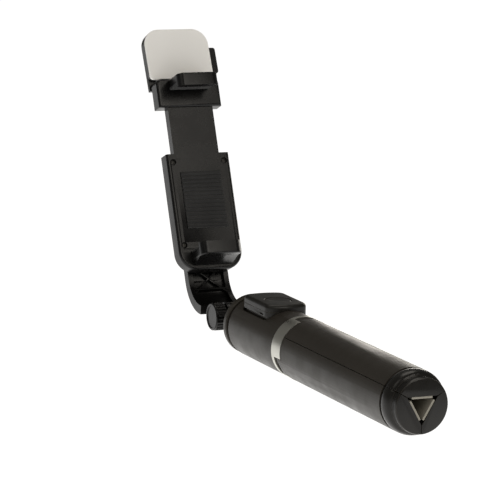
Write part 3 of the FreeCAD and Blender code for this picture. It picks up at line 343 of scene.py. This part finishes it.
SOFTENED = {
    (abs_skin, abs_edge): {
        "handle_shell": 0.25,
        "leg_1": 0.22,
        "leg_2": 0.22,
        "leg_3": 0.22,
        "pole_head": 0.3,
    },
    (foot_skin, foot_edge): {"foot_1": 0.2, "foot_2": 0.2, "foot_3": 0.2},
    (nylon_skin, nylon_edge): {
        "arm": 0.35,
        "clamp_body": 0.3,
        "clamp_cover": 0.2,
        "upper_jaw": 0.3,
        "light_tray": 0.25,
        "light_button": 0.3,
        "leg_hub": 0.2,
        "shell_end_ring": 0.25,
    },
    (remote_skin, remote_edge): {"remote_base": 0.15, "remote_cover": 0.2, "remote_button": 0.25},
    (turned_ring, ring_edge): {"trim_ring": 0.12},
    (opal, opal): {"light_diffuser": 0.2},
    # The foot's inner plates carry the light grey that paints the reflection off the legs' inner faces.
    (painted_reflection_grey, painted_reflection_grey): {"leg_plate_1": 0.15, "leg_plate_2": 0.15, "leg_plate_3": 0.15},
}
for (face, edge), radii in SOFTENED.items():
    for node, radius in radii.items():
        made = softened(node, radius, face, edge)
        print(f"{made.name}: {len(made.data.polygons)} faces")

# %% [markdown]
# ## Pieces whose CAD shape is right as it is
#
# Tubes, pins, nuts and circuit boards are turned, drawn or flat, and mostly hidden. They keep
# their CAD meshes and only take a finish. Assigning to the material slots changes nothing else.

# %% Finishes on the CAD's own pieces
KEPT = {
    drawn_steel: [f"tube_{number}" for number in range(1, 6)],
    acetal: [f"tube_bush_{number}" for number in range(2, 6)],
    zinc: ["leg_pins", "hinge_bolt", "hinge_nut", "hinge_washers", "swivel_washer", "light_pin"],
    solder_mask: ["light_board", "remote_board"],
    phosphor: ["light_diodes"],
    cell_wrap: ["light_battery", "remote_battery"],
}
for material, names in KEPT.items():
    for name in names:
        for material_slot in nodes[name].material_slots:
            material_slot.material = material
print("kept CAD pieces:", sum(len(names) for names in KEPT.values()))

# %% [markdown]
# ## Growing repeated shapes with Geometry Nodes
#
# Ribs, coils and screws repeat one small shape along a line or a ring. A Geometry Nodes tree with
# named inputs says that rule once. The result is then turned into a plain mesh, because a
# finished piece should carry no live modifier.


# %% The helper that runs a tree
def grown(name, rule, material, **sizes):
    """Builds a tree from a rule, runs it with these sizes and returns a plain mesh object."""
    tree = bpy.data.node_groups.new(name, "GeometryNodeTree")
    tree.interface.new_socket("Geometry", in_out="OUTPUT", socket_type="NodeSocketGeometry")
    finish_in = tree.interface.new_socket("Finish", in_out="INPUT", socket_type="NodeSocketMaterial")
    values = {finish_in.identifier: material}
    for label, value in sizes.items():
        kind = "NodeSocketInt" if isinstance(value, int) else "NodeSocketFloat"
        socket = tree.interface.new_socket(label, in_out="INPUT", socket_type=kind)
        values[socket.identifier] = value
    given = add(tree, "NodeGroupInput").outputs
    real = add(tree, "GeometryNodeRealizeInstances", {"Geometry": rule(tree, given)})
    painted = add(tree, "GeometryNodeSetMaterial", {"Geometry": real.outputs[0], "Material": given["Finish"]})
    add(tree, "NodeGroupOutput", {"Geometry": painted.outputs[0]})
    host = new_object(name, bpy.data.meshes.new(name))
    modifier = host.modifiers.new("grow", "NODES")
    modifier.node_group = tree
    for identifier, value in values.items():
        modifier[identifier] = value
    return plain_mesh(host, name)


def joined(name, *parts):
    """Several mesh objects as one, each keeping its own materials."""
    whole = bmesh.new()
    materials = []
    for part in parts:
        start = len(whole.faces)
        whole.from_mesh(part.data)
        whole.faces.ensure_lookup_table()
        offset = len(materials)
        materials += list(part.data.materials)
        for polygon in whole.faces[start:]:
            polygon.material_index += offset
        bpy.data.objects.remove(part)
    mesh = bpy.data.meshes.new(name)
    whole.to_mesh(mesh)
    whole.free()
    for material in materials:
        mesh.materials.append(material)
    return new_object(name, mesh)


# %% [markdown]
# ## The clamp's own axes
#
# The clamp leans, so its pieces are easiest to build upright and then turned into place. The
# record says where its axes are: the swivel joint gives the origin and the direction that faces
# the phone, and the jaw's slide gives the direction that runs up the clamp.

# %% Axes of the clamp
up_clamp = Vector(joints["jaw_slide"]["axis"]).normalized()
out_clamp = Vector(joints["clamp_swivel"]["axis"]).normalized()
across = up_clamp.cross(out_clamp)
clamp_origin = Vector(joints["clamp_swivel"]["pos_m"])
clamp_frame = Matrix((across, up_clamp, out_clamp)).transposed().to_4x4()
clamp_frame.translation = clamp_origin
print("clamp leans back", round(90 - math.degrees(math.asin(up_clamp.z)), 1), "degrees")


def in_clamp(node):
    """Lowest and highest corner of a CAD piece measured along the clamp's own axes."""
    back = clamp_frame.inverted()
    points = [back @ vertex.co for vertex in nodes[node].data.vertices]
    low = Vector([min(point[i] for point in points) for i in range(3)])
    high = Vector([max(point[i] for point in points) for i in range(3)])
    return low, high


# %% [markdown]
# ## Ribbed pads
#
# The three soft pads grip with a row of low ribs. Each pad is a thin base with half-round ribs on
# it, which a Geometry Nodes line of instances lays out; the count follows from a rib pitch of
# about 2 mm. The ribs sit inside the CAD pad's thickness, so nothing grows.

# %% Pads
RIB_PITCH = 2.0 * MM
FEWEST_RIBS = 3
RIB_SHARE = 0.35
RIB_WIDTH = 0.3
RIB_SIDES = 16
PAD_CREASE = 40


def pad_rule(tree, given):
    """A flat base with rounded ribs across it, spaced along Y."""
    base_size = add(tree, "ShaderNodeCombineXYZ", {0: given["Width"], 1: given["Length"], 2: given["Base"]})
    base = add(tree, "GeometryNodeMeshCube", {"Size": base_size.outputs[0]})
    half_base = add(tree, "ShaderNodeMath", {0: given["Base"], 1: 0.5}, operation="MULTIPLY")
    lift = add(tree, "ShaderNodeCombineXYZ", {2: half_base.outputs[0]})
    raised = add(tree, "GeometryNodeTransform", {"Geometry": base.outputs[0], "Translation": lift.outputs[0]})
    step = add(tree, "ShaderNodeCombineXYZ", {1: given["Pitch"]})
    back = add(tree, "ShaderNodeMath", {0: given["Count"], 1: 1.0}, operation="SUBTRACT")
    half = add(tree, "ShaderNodeMath", {0: back.outputs[0], 1: given["Pitch"]}, operation="MULTIPLY")
    start_y = add(tree, "ShaderNodeMath", {0: half.outputs[0], 1: -0.5}, operation="MULTIPLY")
    start = add(tree, "ShaderNodeCombineXYZ", {1: start_y.outputs[0], 2: given["Base"]})
    line = add(
        tree,
        "GeometryNodeMeshLine",
        {"Count": given["Count"], "Start Location": start.outputs[0], "Offset": step.outputs[0]},
    )
    bar = add(
        tree,
        "GeometryNodeMeshCylinder",
        {"Vertices": RIB_SIDES, "Radius": given["Rib radius"], "Depth": given["Width"]},
    )
    flat = add(
        tree,
        "GeometryNodeTransform",
        {"Geometry": bar.outputs[0], "Rotation": (0, math.pi / 2, 0)},
    )
    squash = add(tree, "ShaderNodeCombineXYZ", {0: 1.0, 1: 1.0, 2: given["Rib flatness"]})
    low_bar = add(tree, "GeometryNodeTransform", {"Geometry": flat.outputs[0], "Scale": squash.outputs[0]})
    ribs = add(
        tree, "GeometryNodeInstanceOnPoints", {"Points": line.outputs[0], "Instance": low_bar.outputs[0]}
    )
    whole = add(tree, "GeometryNodeJoinGeometry")
    tree.links.new(raised.outputs[0], whole.inputs[0])
    tree.links.new(ribs.outputs[0], whole.inputs[0])
    return whole.outputs[0]


def ribbed_pad(node, width, length, thickness, turn, face_centre):
    """Grows a pad of this size, turns it and puts the middle of its gripping face in place."""
    count = max(FEWEST_RIBS, int(round(length / RIB_PITCH)))
    pitch = length / count
    rib = pitch * RIB_WIDTH
    rise = thickness * RIB_SHARE
    pad = grown(
        f"{node}_ribbed",
        pad_rule,
        silicone,
        Width=width,
        Length=length,
        Base=thickness - rise,
        Pitch=pitch,
        Count=count,
        **{"Rib radius": rib, "Rib flatness": rise / rib},
    )
    drop = Matrix.Translation((0, 0, -thickness))
    pad.data.transform(clamp_frame @ Matrix.Translation(face_centre) @ turn @ drop)
    smooth_with_creases(pad.data, PAD_CREASE)
    settle(pad, node)
    print(f"{node}: {count} ribs, {pitch / MM:.1f} mm apart")


PADS = {
    # name: (axis of its thickness, whether the high side grips, turn about X in degrees)
    "back_pad": (2, True, 0),
    "lower_pad": (1, True, -90),
    "upper_pad": (1, False, 90),
}
for node, (depth, high_grips, turn_deg) in PADS.items():
    low, high = in_clamp(node)
    size = high - low
    face_centre = (low + high) / 2
    face_centre[depth] = high[depth] if high_grips else low[depth]
    along = 3 - depth
    turn = Matrix.Rotation(math.radians(turn_deg), 4, "X")
    ribbed_pad(node, size.x, size[along], size[depth], turn, face_centre)

# %% [markdown]
# ## The clamp's springs
#
# Two long coils inside the stem pull the jaws together. A spiral curve with a round profile is
# exactly how wire is wound. Each spring belongs to two bodies at once; here both coils are wound
# at the CAD springs' length and ride on no body.

# %% Springs
WIRE = 0.25 * MM
WIRE_SIDES = 7
COIL_TURNS = 26.0
STEPS_PER_TURN = 14


def coil_rule(tree, given):
    """Wire wound round the Z axis, starting at the origin."""
    path = add(
        tree,
        "GeometryNodeCurveSpiral",
        {
            "Resolution": STEPS_PER_TURN,
            "Rotations": given["Turns"],
            "Start Radius": given["Coil radius"],
            "End Radius": given["Coil radius"],
            "Height": given["Length"],
        },
    )
    profile = add(
        tree,
        "GeometryNodeCurvePrimitiveCircle",
        {"Resolution": WIRE_SIDES, "Radius": given["Wire radius"]},
    )
    wire = add(
        tree,
        "GeometryNodeCurveToMesh",
        {"Curve": path.outputs[0], "Profile Curve": profile.outputs[0], "Fill Caps": True},
    )
    return wire.outputs[0]


low, high = in_clamp("jaw_springs")
spring_radius = (high.z - low.z) / 2
coil = spring_radius - WIRE
length = high.y - low.y
mid_depth = (low.z + high.z) / 2
upright = Matrix.Rotation(-math.pi / 2, 4, "X")
springs = []
for side in (low.x + spring_radius, high.x - spring_radius):
    spring = grown(
        "spring",
        coil_rule,
        spring_wire,
        Turns=COIL_TURNS,
        Length=length,
        **{"Coil radius": coil, "Wire radius": WIRE},
    )
    spring.data.transform(clamp_frame @ Matrix.Translation((side, low.y, mid_depth)) @ upright)
    springs.append(spring)
coils = joined("jaw_springs_wound", *springs)
for polygon in coils.data.polygons:
    polygon.use_smooth = True
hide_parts("jaw_springs")
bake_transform(coils)
print(f"springs: {length / MM:.0f} mm long, {2 * spring_radius / MM:.1f} mm across")

# %% [markdown]
# ## Small screws
#
# Four cross-head screws hold the clamp's cover, and a larger one is the swivel. A screw head is a
# low dome with a cross cut into it. One profile is spun round Z for the dome and the shank, and
# the recess is left as four dark walls by a boolean cut. Geometry Nodes sets the four small ones
# out on the corners of a rectangle.


# %% Screws
# Corners of a pan head's outline: (share of its radius, share of its height below the top).
PAN_HEAD = ((0, 0), (0.55, 0), (0.86, 0.25), (1, 0.6), (1, 1))
RECESS_REACH = 0.6
RECESS_WIDTH = 0.24
RECESS_DEPTH = 0.6
SCREW_CREASE = 35


def turned_profile(name, profile, material, steps=32):
    """Spins a closed half outline of (radius, height) pairs round Z."""
    work = bmesh.new()
    points = [work.verts.new((radius, 0, height)) for radius, height in profile]
    edges = [work.edges.new(pair) for pair in zip(points, points[1:])]
    bmesh.ops.spin(
        work,
        geom=points + edges,
        cent=(0, 0, 0),
        axis=(0, 0, 1),
        angle=2 * math.pi,
        steps=steps,
        use_merge=True,
    )
    bmesh.ops.remove_doubles(work, verts=work.verts, dist=WELD)
    bmesh.ops.recalc_face_normals(work, faces=work.faces)
    mesh = bpy.data.meshes.new(name)
    work.to_mesh(mesh)
    work.free()
    mesh.materials.append(material)
    return new_object(name, mesh)


def cross_cutter(reach, width, depth, top):
    """Two crossed bars that stand in the head from a depth up to above its top."""
    work = bmesh.new()
    for turn in (0, math.pi / 2):
        made = bmesh.ops.create_cube(work, size=1)["verts"]
        bmesh.ops.scale(work, verts=made, vec=(2 * reach, width, depth + top))
        bmesh.ops.translate(work, verts=made, vec=(0, 0, (top - depth) / 2))
        bmesh.ops.rotate(work, verts=made, cent=(0, 0, 0), matrix=Matrix.Rotation(turn, 3, "Z"))
    mesh = bpy.data.meshes.new("cross_cutter")
    work.to_mesh(mesh)
    work.free()
    return new_object("cross_cutter", mesh)


def cross_head_screw(name, head, shank, head_height, length, finish_):
    """A pan-head screw whose head top is at the origin and whose shank points down Z."""
    dome = [(head * across, -head_height * down) for across, down in PAN_HEAD]
    profile = dome + [(shank, -head_height), (shank, -length), (0, -length)]
    screw = turned_profile(name, profile, finish_)
    cutter = cross_cutter(head * RECESS_REACH, head * RECESS_WIDTH, head_height * RECESS_DEPTH, MM)
    recess = screw.modifiers.new("recess", "BOOLEAN")
    recess.operation = "DIFFERENCE"
    recess.object = cutter
    recess.use_self = True
    plain_mesh(screw, name)
    bpy.data.objects.remove(cutter)
    screw.data.set_sharp_from_angle(angle=math.radians(SCREW_CREASE))
    return screw


low, high = in_clamp("cover_screws")
head_radius = 1.4 * MM
screw = cross_head_screw(
    "cover_screw",
    head=head_radius,
    shank=0.8 * MM,
    head_height=0.5 * MM,
    length=high.z - low.z,
    finish_=black_zinc,
)


def corner_rule(tree, given):
    """One instance of the screw on each corner of a rectangle."""
    corners = add(
        tree,
        "GeometryNodeMeshGrid",
        {"Size X": given["Across"], "Size Y": given["Along"], "Vertices X": 2, "Vertices Y": 2},
    )
    shape = add(tree, "GeometryNodeObjectInfo", {"Object": screw})
    placed = add(
        tree,
        "GeometryNodeInstanceOnPoints",
        {"Points": corners.outputs[0], "Instance": shape.outputs["Geometry"]},
    )
    return placed.outputs[0]


screws = grown(
    "cover_screws_set",
    corner_rule,
    black_zinc,
    Across=high.x - low.x - 2 * head_radius,
    Along=high.y - low.y - 2 * head_radius,
)
middle = (low + high) / 2
screws.data.transform(clamp_frame @ Matrix.Translation((middle.x, middle.y, high.z)))
bpy.data.objects.remove(screw)
settle(screws, "cover_screws")

low, high = in_clamp("swivel_screw")
swivel = cross_head_screw(
    "swivel_screw_turned",
    head=(high.x - low.x) / 2,
    shank=1.5 * MM,
    head_height=1.8 * MM,
    length=high.z - low.z,
    finish_=zinc,
)
facing_back = Matrix.Rotation(math.pi, 4, "X")
swivel.data.transform(clamp_frame @ Matrix.Translation((0, 0, low.z)) @ facing_back)
settle(swivel, "swivel_screw")
print("screws set:", len(screws.data.polygons), "and", len(swivel.data.polygons), "faces")

# %% [markdown]
# ## The hinge knob
#
# The knob that locks the tilt is a turned plastic core with grip ribs moulded round it. The core
# is spun from its outline; the ribs are one rounded bar set out on a circle by Geometry Nodes.

# %% Knob
RIB_COUNT = 24
GRIP_SIDES = 12
CORE_STEPS = 64
KNOB_CREASE = 32
ROUNDING = 0.3 * MM
COLLAR_LENGTH = 1.0 * MM
COLLAR_INSET = 0.1 * MM
COLLAR_BEVEL = 0.4 * MM
RIM_WIDTH = 0.6 * MM
DISH_DEPTH = 0.4 * MM
DISH_CENTRE_DEPTH = 0.45 * MM
END_WALL = 2.0 * MM
RIBS_SHORTER_BY = 1.5 * MM
low, high = (Vector(corner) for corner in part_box("hinge_knob"))
knob_radius = (high.z - low.z) / 2
knob_length = high.x - low.x
bolt_low, bolt_high = (Vector(corner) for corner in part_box("hinge_bolt"))
bolt_radius = (bolt_high.z - bolt_low.z) / 2
rib_radius = 0.42 * MM
core_radius = knob_radius - rib_radius
collar_radius = knob_radius - COLLAR_INSET
rim_radius = collar_radius - COLLAR_BEVEL
dish_radius = rim_radius - RIM_WIDTH


def knob_rule(tree, given):
    """Bars parallel to Z, set out round a circle."""
    ring = add(
        tree,
        "GeometryNodeMeshCircle",
        {"Vertices": given["Count"], "Radius": given["Circle radius"]},
    )
    bar = add(
        tree,
        "GeometryNodeMeshCylinder",
        {"Vertices": GRIP_SIDES, "Radius": given["Rib radius"], "Depth": given["Rib length"]},
    )
    set_out = add(
        tree,
        "GeometryNodeInstanceOnPoints",
        {"Points": ring.outputs[0], "Instance": bar.outputs[0]},
    )
    return set_out.outputs[0]


ribs = grown(
    "knob_ribs",
    knob_rule,
    nylon_skin,
    Count=RIB_COUNT,
    **{
        "Circle radius": core_radius,
        "Rib radius": rib_radius,
        "Rib length": knob_length - RIBS_SHORTER_BY,
    },
)
ribs.data.transform(Matrix.Translation((0, 0, knob_length / 2 - ROUNDING)))
core = turned_profile(
    "knob_core",
    (
        (bolt_radius, 0),
        (core_radius - ROUNDING, 0),
        (core_radius, ROUNDING),
        (core_radius, knob_length - COLLAR_LENGTH),
        (collar_radius, knob_length - COLLAR_LENGTH + COLLAR_INSET),
        (collar_radius, knob_length - COLLAR_BEVEL),
        (rim_radius, knob_length),
        (dish_radius, knob_length),
        (dish_radius - ROUNDING, knob_length - DISH_DEPTH),
        (0, knob_length - DISH_CENTRE_DEPTH),
        (0, knob_length - END_WALL),
        (bolt_radius, knob_length - END_WALL),
        (bolt_radius, 0),
    ),
    nylon_skin,
    CORE_STEPS,
)
knob = joined("hinge_knob_ribbed", core, ribs)
to_left = Matrix.Translation((high.x, (low.y + high.y) / 2, (low.z + high.z) / 2))
knob.data.transform(to_left @ Matrix.Rotation(-math.pi / 2, 4, "Y"))
smooth_with_creases(knob.data, KNOB_CREASE)
settle(knob, "hinge_knob")
print(f"knob: {RIB_COUNT} ribs round {2 * knob_radius / MM:.1f} mm")

# %% [markdown]
# ## Floor, light and camera
#
# A pale floor well below the stick keeps shadows soft even with the legs opened. The light is a
# bright white room with three large soft panels and a small one. The large ones are high on the
# left, broad in front and overhead. The small one stands close to the right of the legs and
# draws the long sheen on their upper flank. The camera stands low and to the left of the foot
# end with a long lens, so the handle comes towards the viewer.


# %% Stage
def studio_white(name, colour, strength):
    """A plain painted surface with a faint mottling, as rolled paint has."""
    material = finish(name, colour, (0.8, 0.95), 6, 0.05, IOR=1.45)
    shader = material.node_tree.nodes["Principled BSDF"]
    shader.inputs["Emission Color"].default_value = linear("#ffffff")
    shader.inputs["Emission Strength"].default_value = strength
    return material


box_low, box_high = (Vector(corner) for corner in CAD_BOX)
FLOOR_HALF = 12.0
FLOOR_DROP = 0.35
FLOOR_GLOW = 0.9
work = bmesh.new()
bmesh.ops.create_grid(work, x_segments=1, y_segments=1, size=FLOOR_HALF)
floor_mesh = bpy.data.meshes.new("floor")
work.to_mesh(floor_mesh)
work.free()
floor = new_object("floor", floor_mesh)
floor_mesh.transform(Matrix.Translation((0, 0, box_low.z - FLOOR_DROP)))
floor_mesh.materials.append(studio_white("pale_floor", ("#fbfbfa", "#ffffff"), FLOOR_GLOW))

# %% Light
ROOM_STRENGTH = 0.15
world = bpy.data.worlds.new("white_room")
bpy.context.scene.world = world
world.use_nodes = True
room = world.node_tree.nodes["Background"].inputs
room["Color"].default_value = linear("#fffcf6")
room["Strength"].default_value = ROOM_STRENGTH
middle = (box_low + box_high) / 2
PANELS = {
    # name: (direction from the object, distance, width, height, power in watts)
    "key_panel": ((-0.75, -0.35, 0.9), 1.3, 0.7, 0.7, 1.6),
    "front_panel": ((0.2, -1.0, 0.7), 1.5, 0.8, 0.8, 6),
    "top_panel": ((0.1, 0.3, 1.0), 1.4, 0.8, 0.8, 4.5),
    "rim_panel": ((0.115, 0.098, -0.01), 0.151, 0.09, 0.06, 0.06),
}
for name, (direction, distance, width, height, power) in PANELS.items():
    lamp = bpy.data.lights.new(name, "AREA")
    lamp.energy = power
    lamp.shape = "RECTANGLE"
    lamp.size = width
    lamp.size_y = height
    lamp.color = linear("#fff9ef")[:3]
    panel = bpy.data.objects.new(name, lamp)
    bpy.context.scene.collection.objects.link(panel)
    panel.location = middle + Vector(direction).normalized() * distance
    panel.rotation_euler = Vector(direction).to_track_quat("Z", "Y").to_euler()
    panel.visible_camera = False
bpy.context.scene.view_settings.view_transform = "Standard"
print("panels:", list(PANELS))

# %% Camera
AZIMUTH = math.radians(-23.967)
ELEVATION = math.radians(10.127)
ROLL = math.radians(1.62)
DISTANCE = 1.4673
LENS = 236.25
SENSOR_WIDTH = 36
SEES_TO = 60
AIM = Vector((0.00848, 0.20677, 0.03235))
towards = Vector(
    (
        -math.sin(AZIMUTH) * math.cos(ELEVATION),
        math.cos(AZIMUTH) * math.cos(ELEVATION),
        -math.sin(ELEVATION),
    )
)
lens = bpy.data.cameras.new("camera")
lens.lens = LENS
lens.sensor_width = SENSOR_WIDTH
lens.clip_end = SEES_TO
camera = bpy.data.objects.new("camera", lens)
bpy.context.scene.collection.objects.link(camera)
camera.location = AIM - towards * DISTANCE
turn = (-towards).to_track_quat("Z", "Y").to_matrix()
camera.rotation_euler = (turn @ Matrix.Rotation(ROLL, 3, "Z")).to_euler()
bpy.context.scene.camera = camera
print("camera at", [round(v, 3) for v in camera.location])
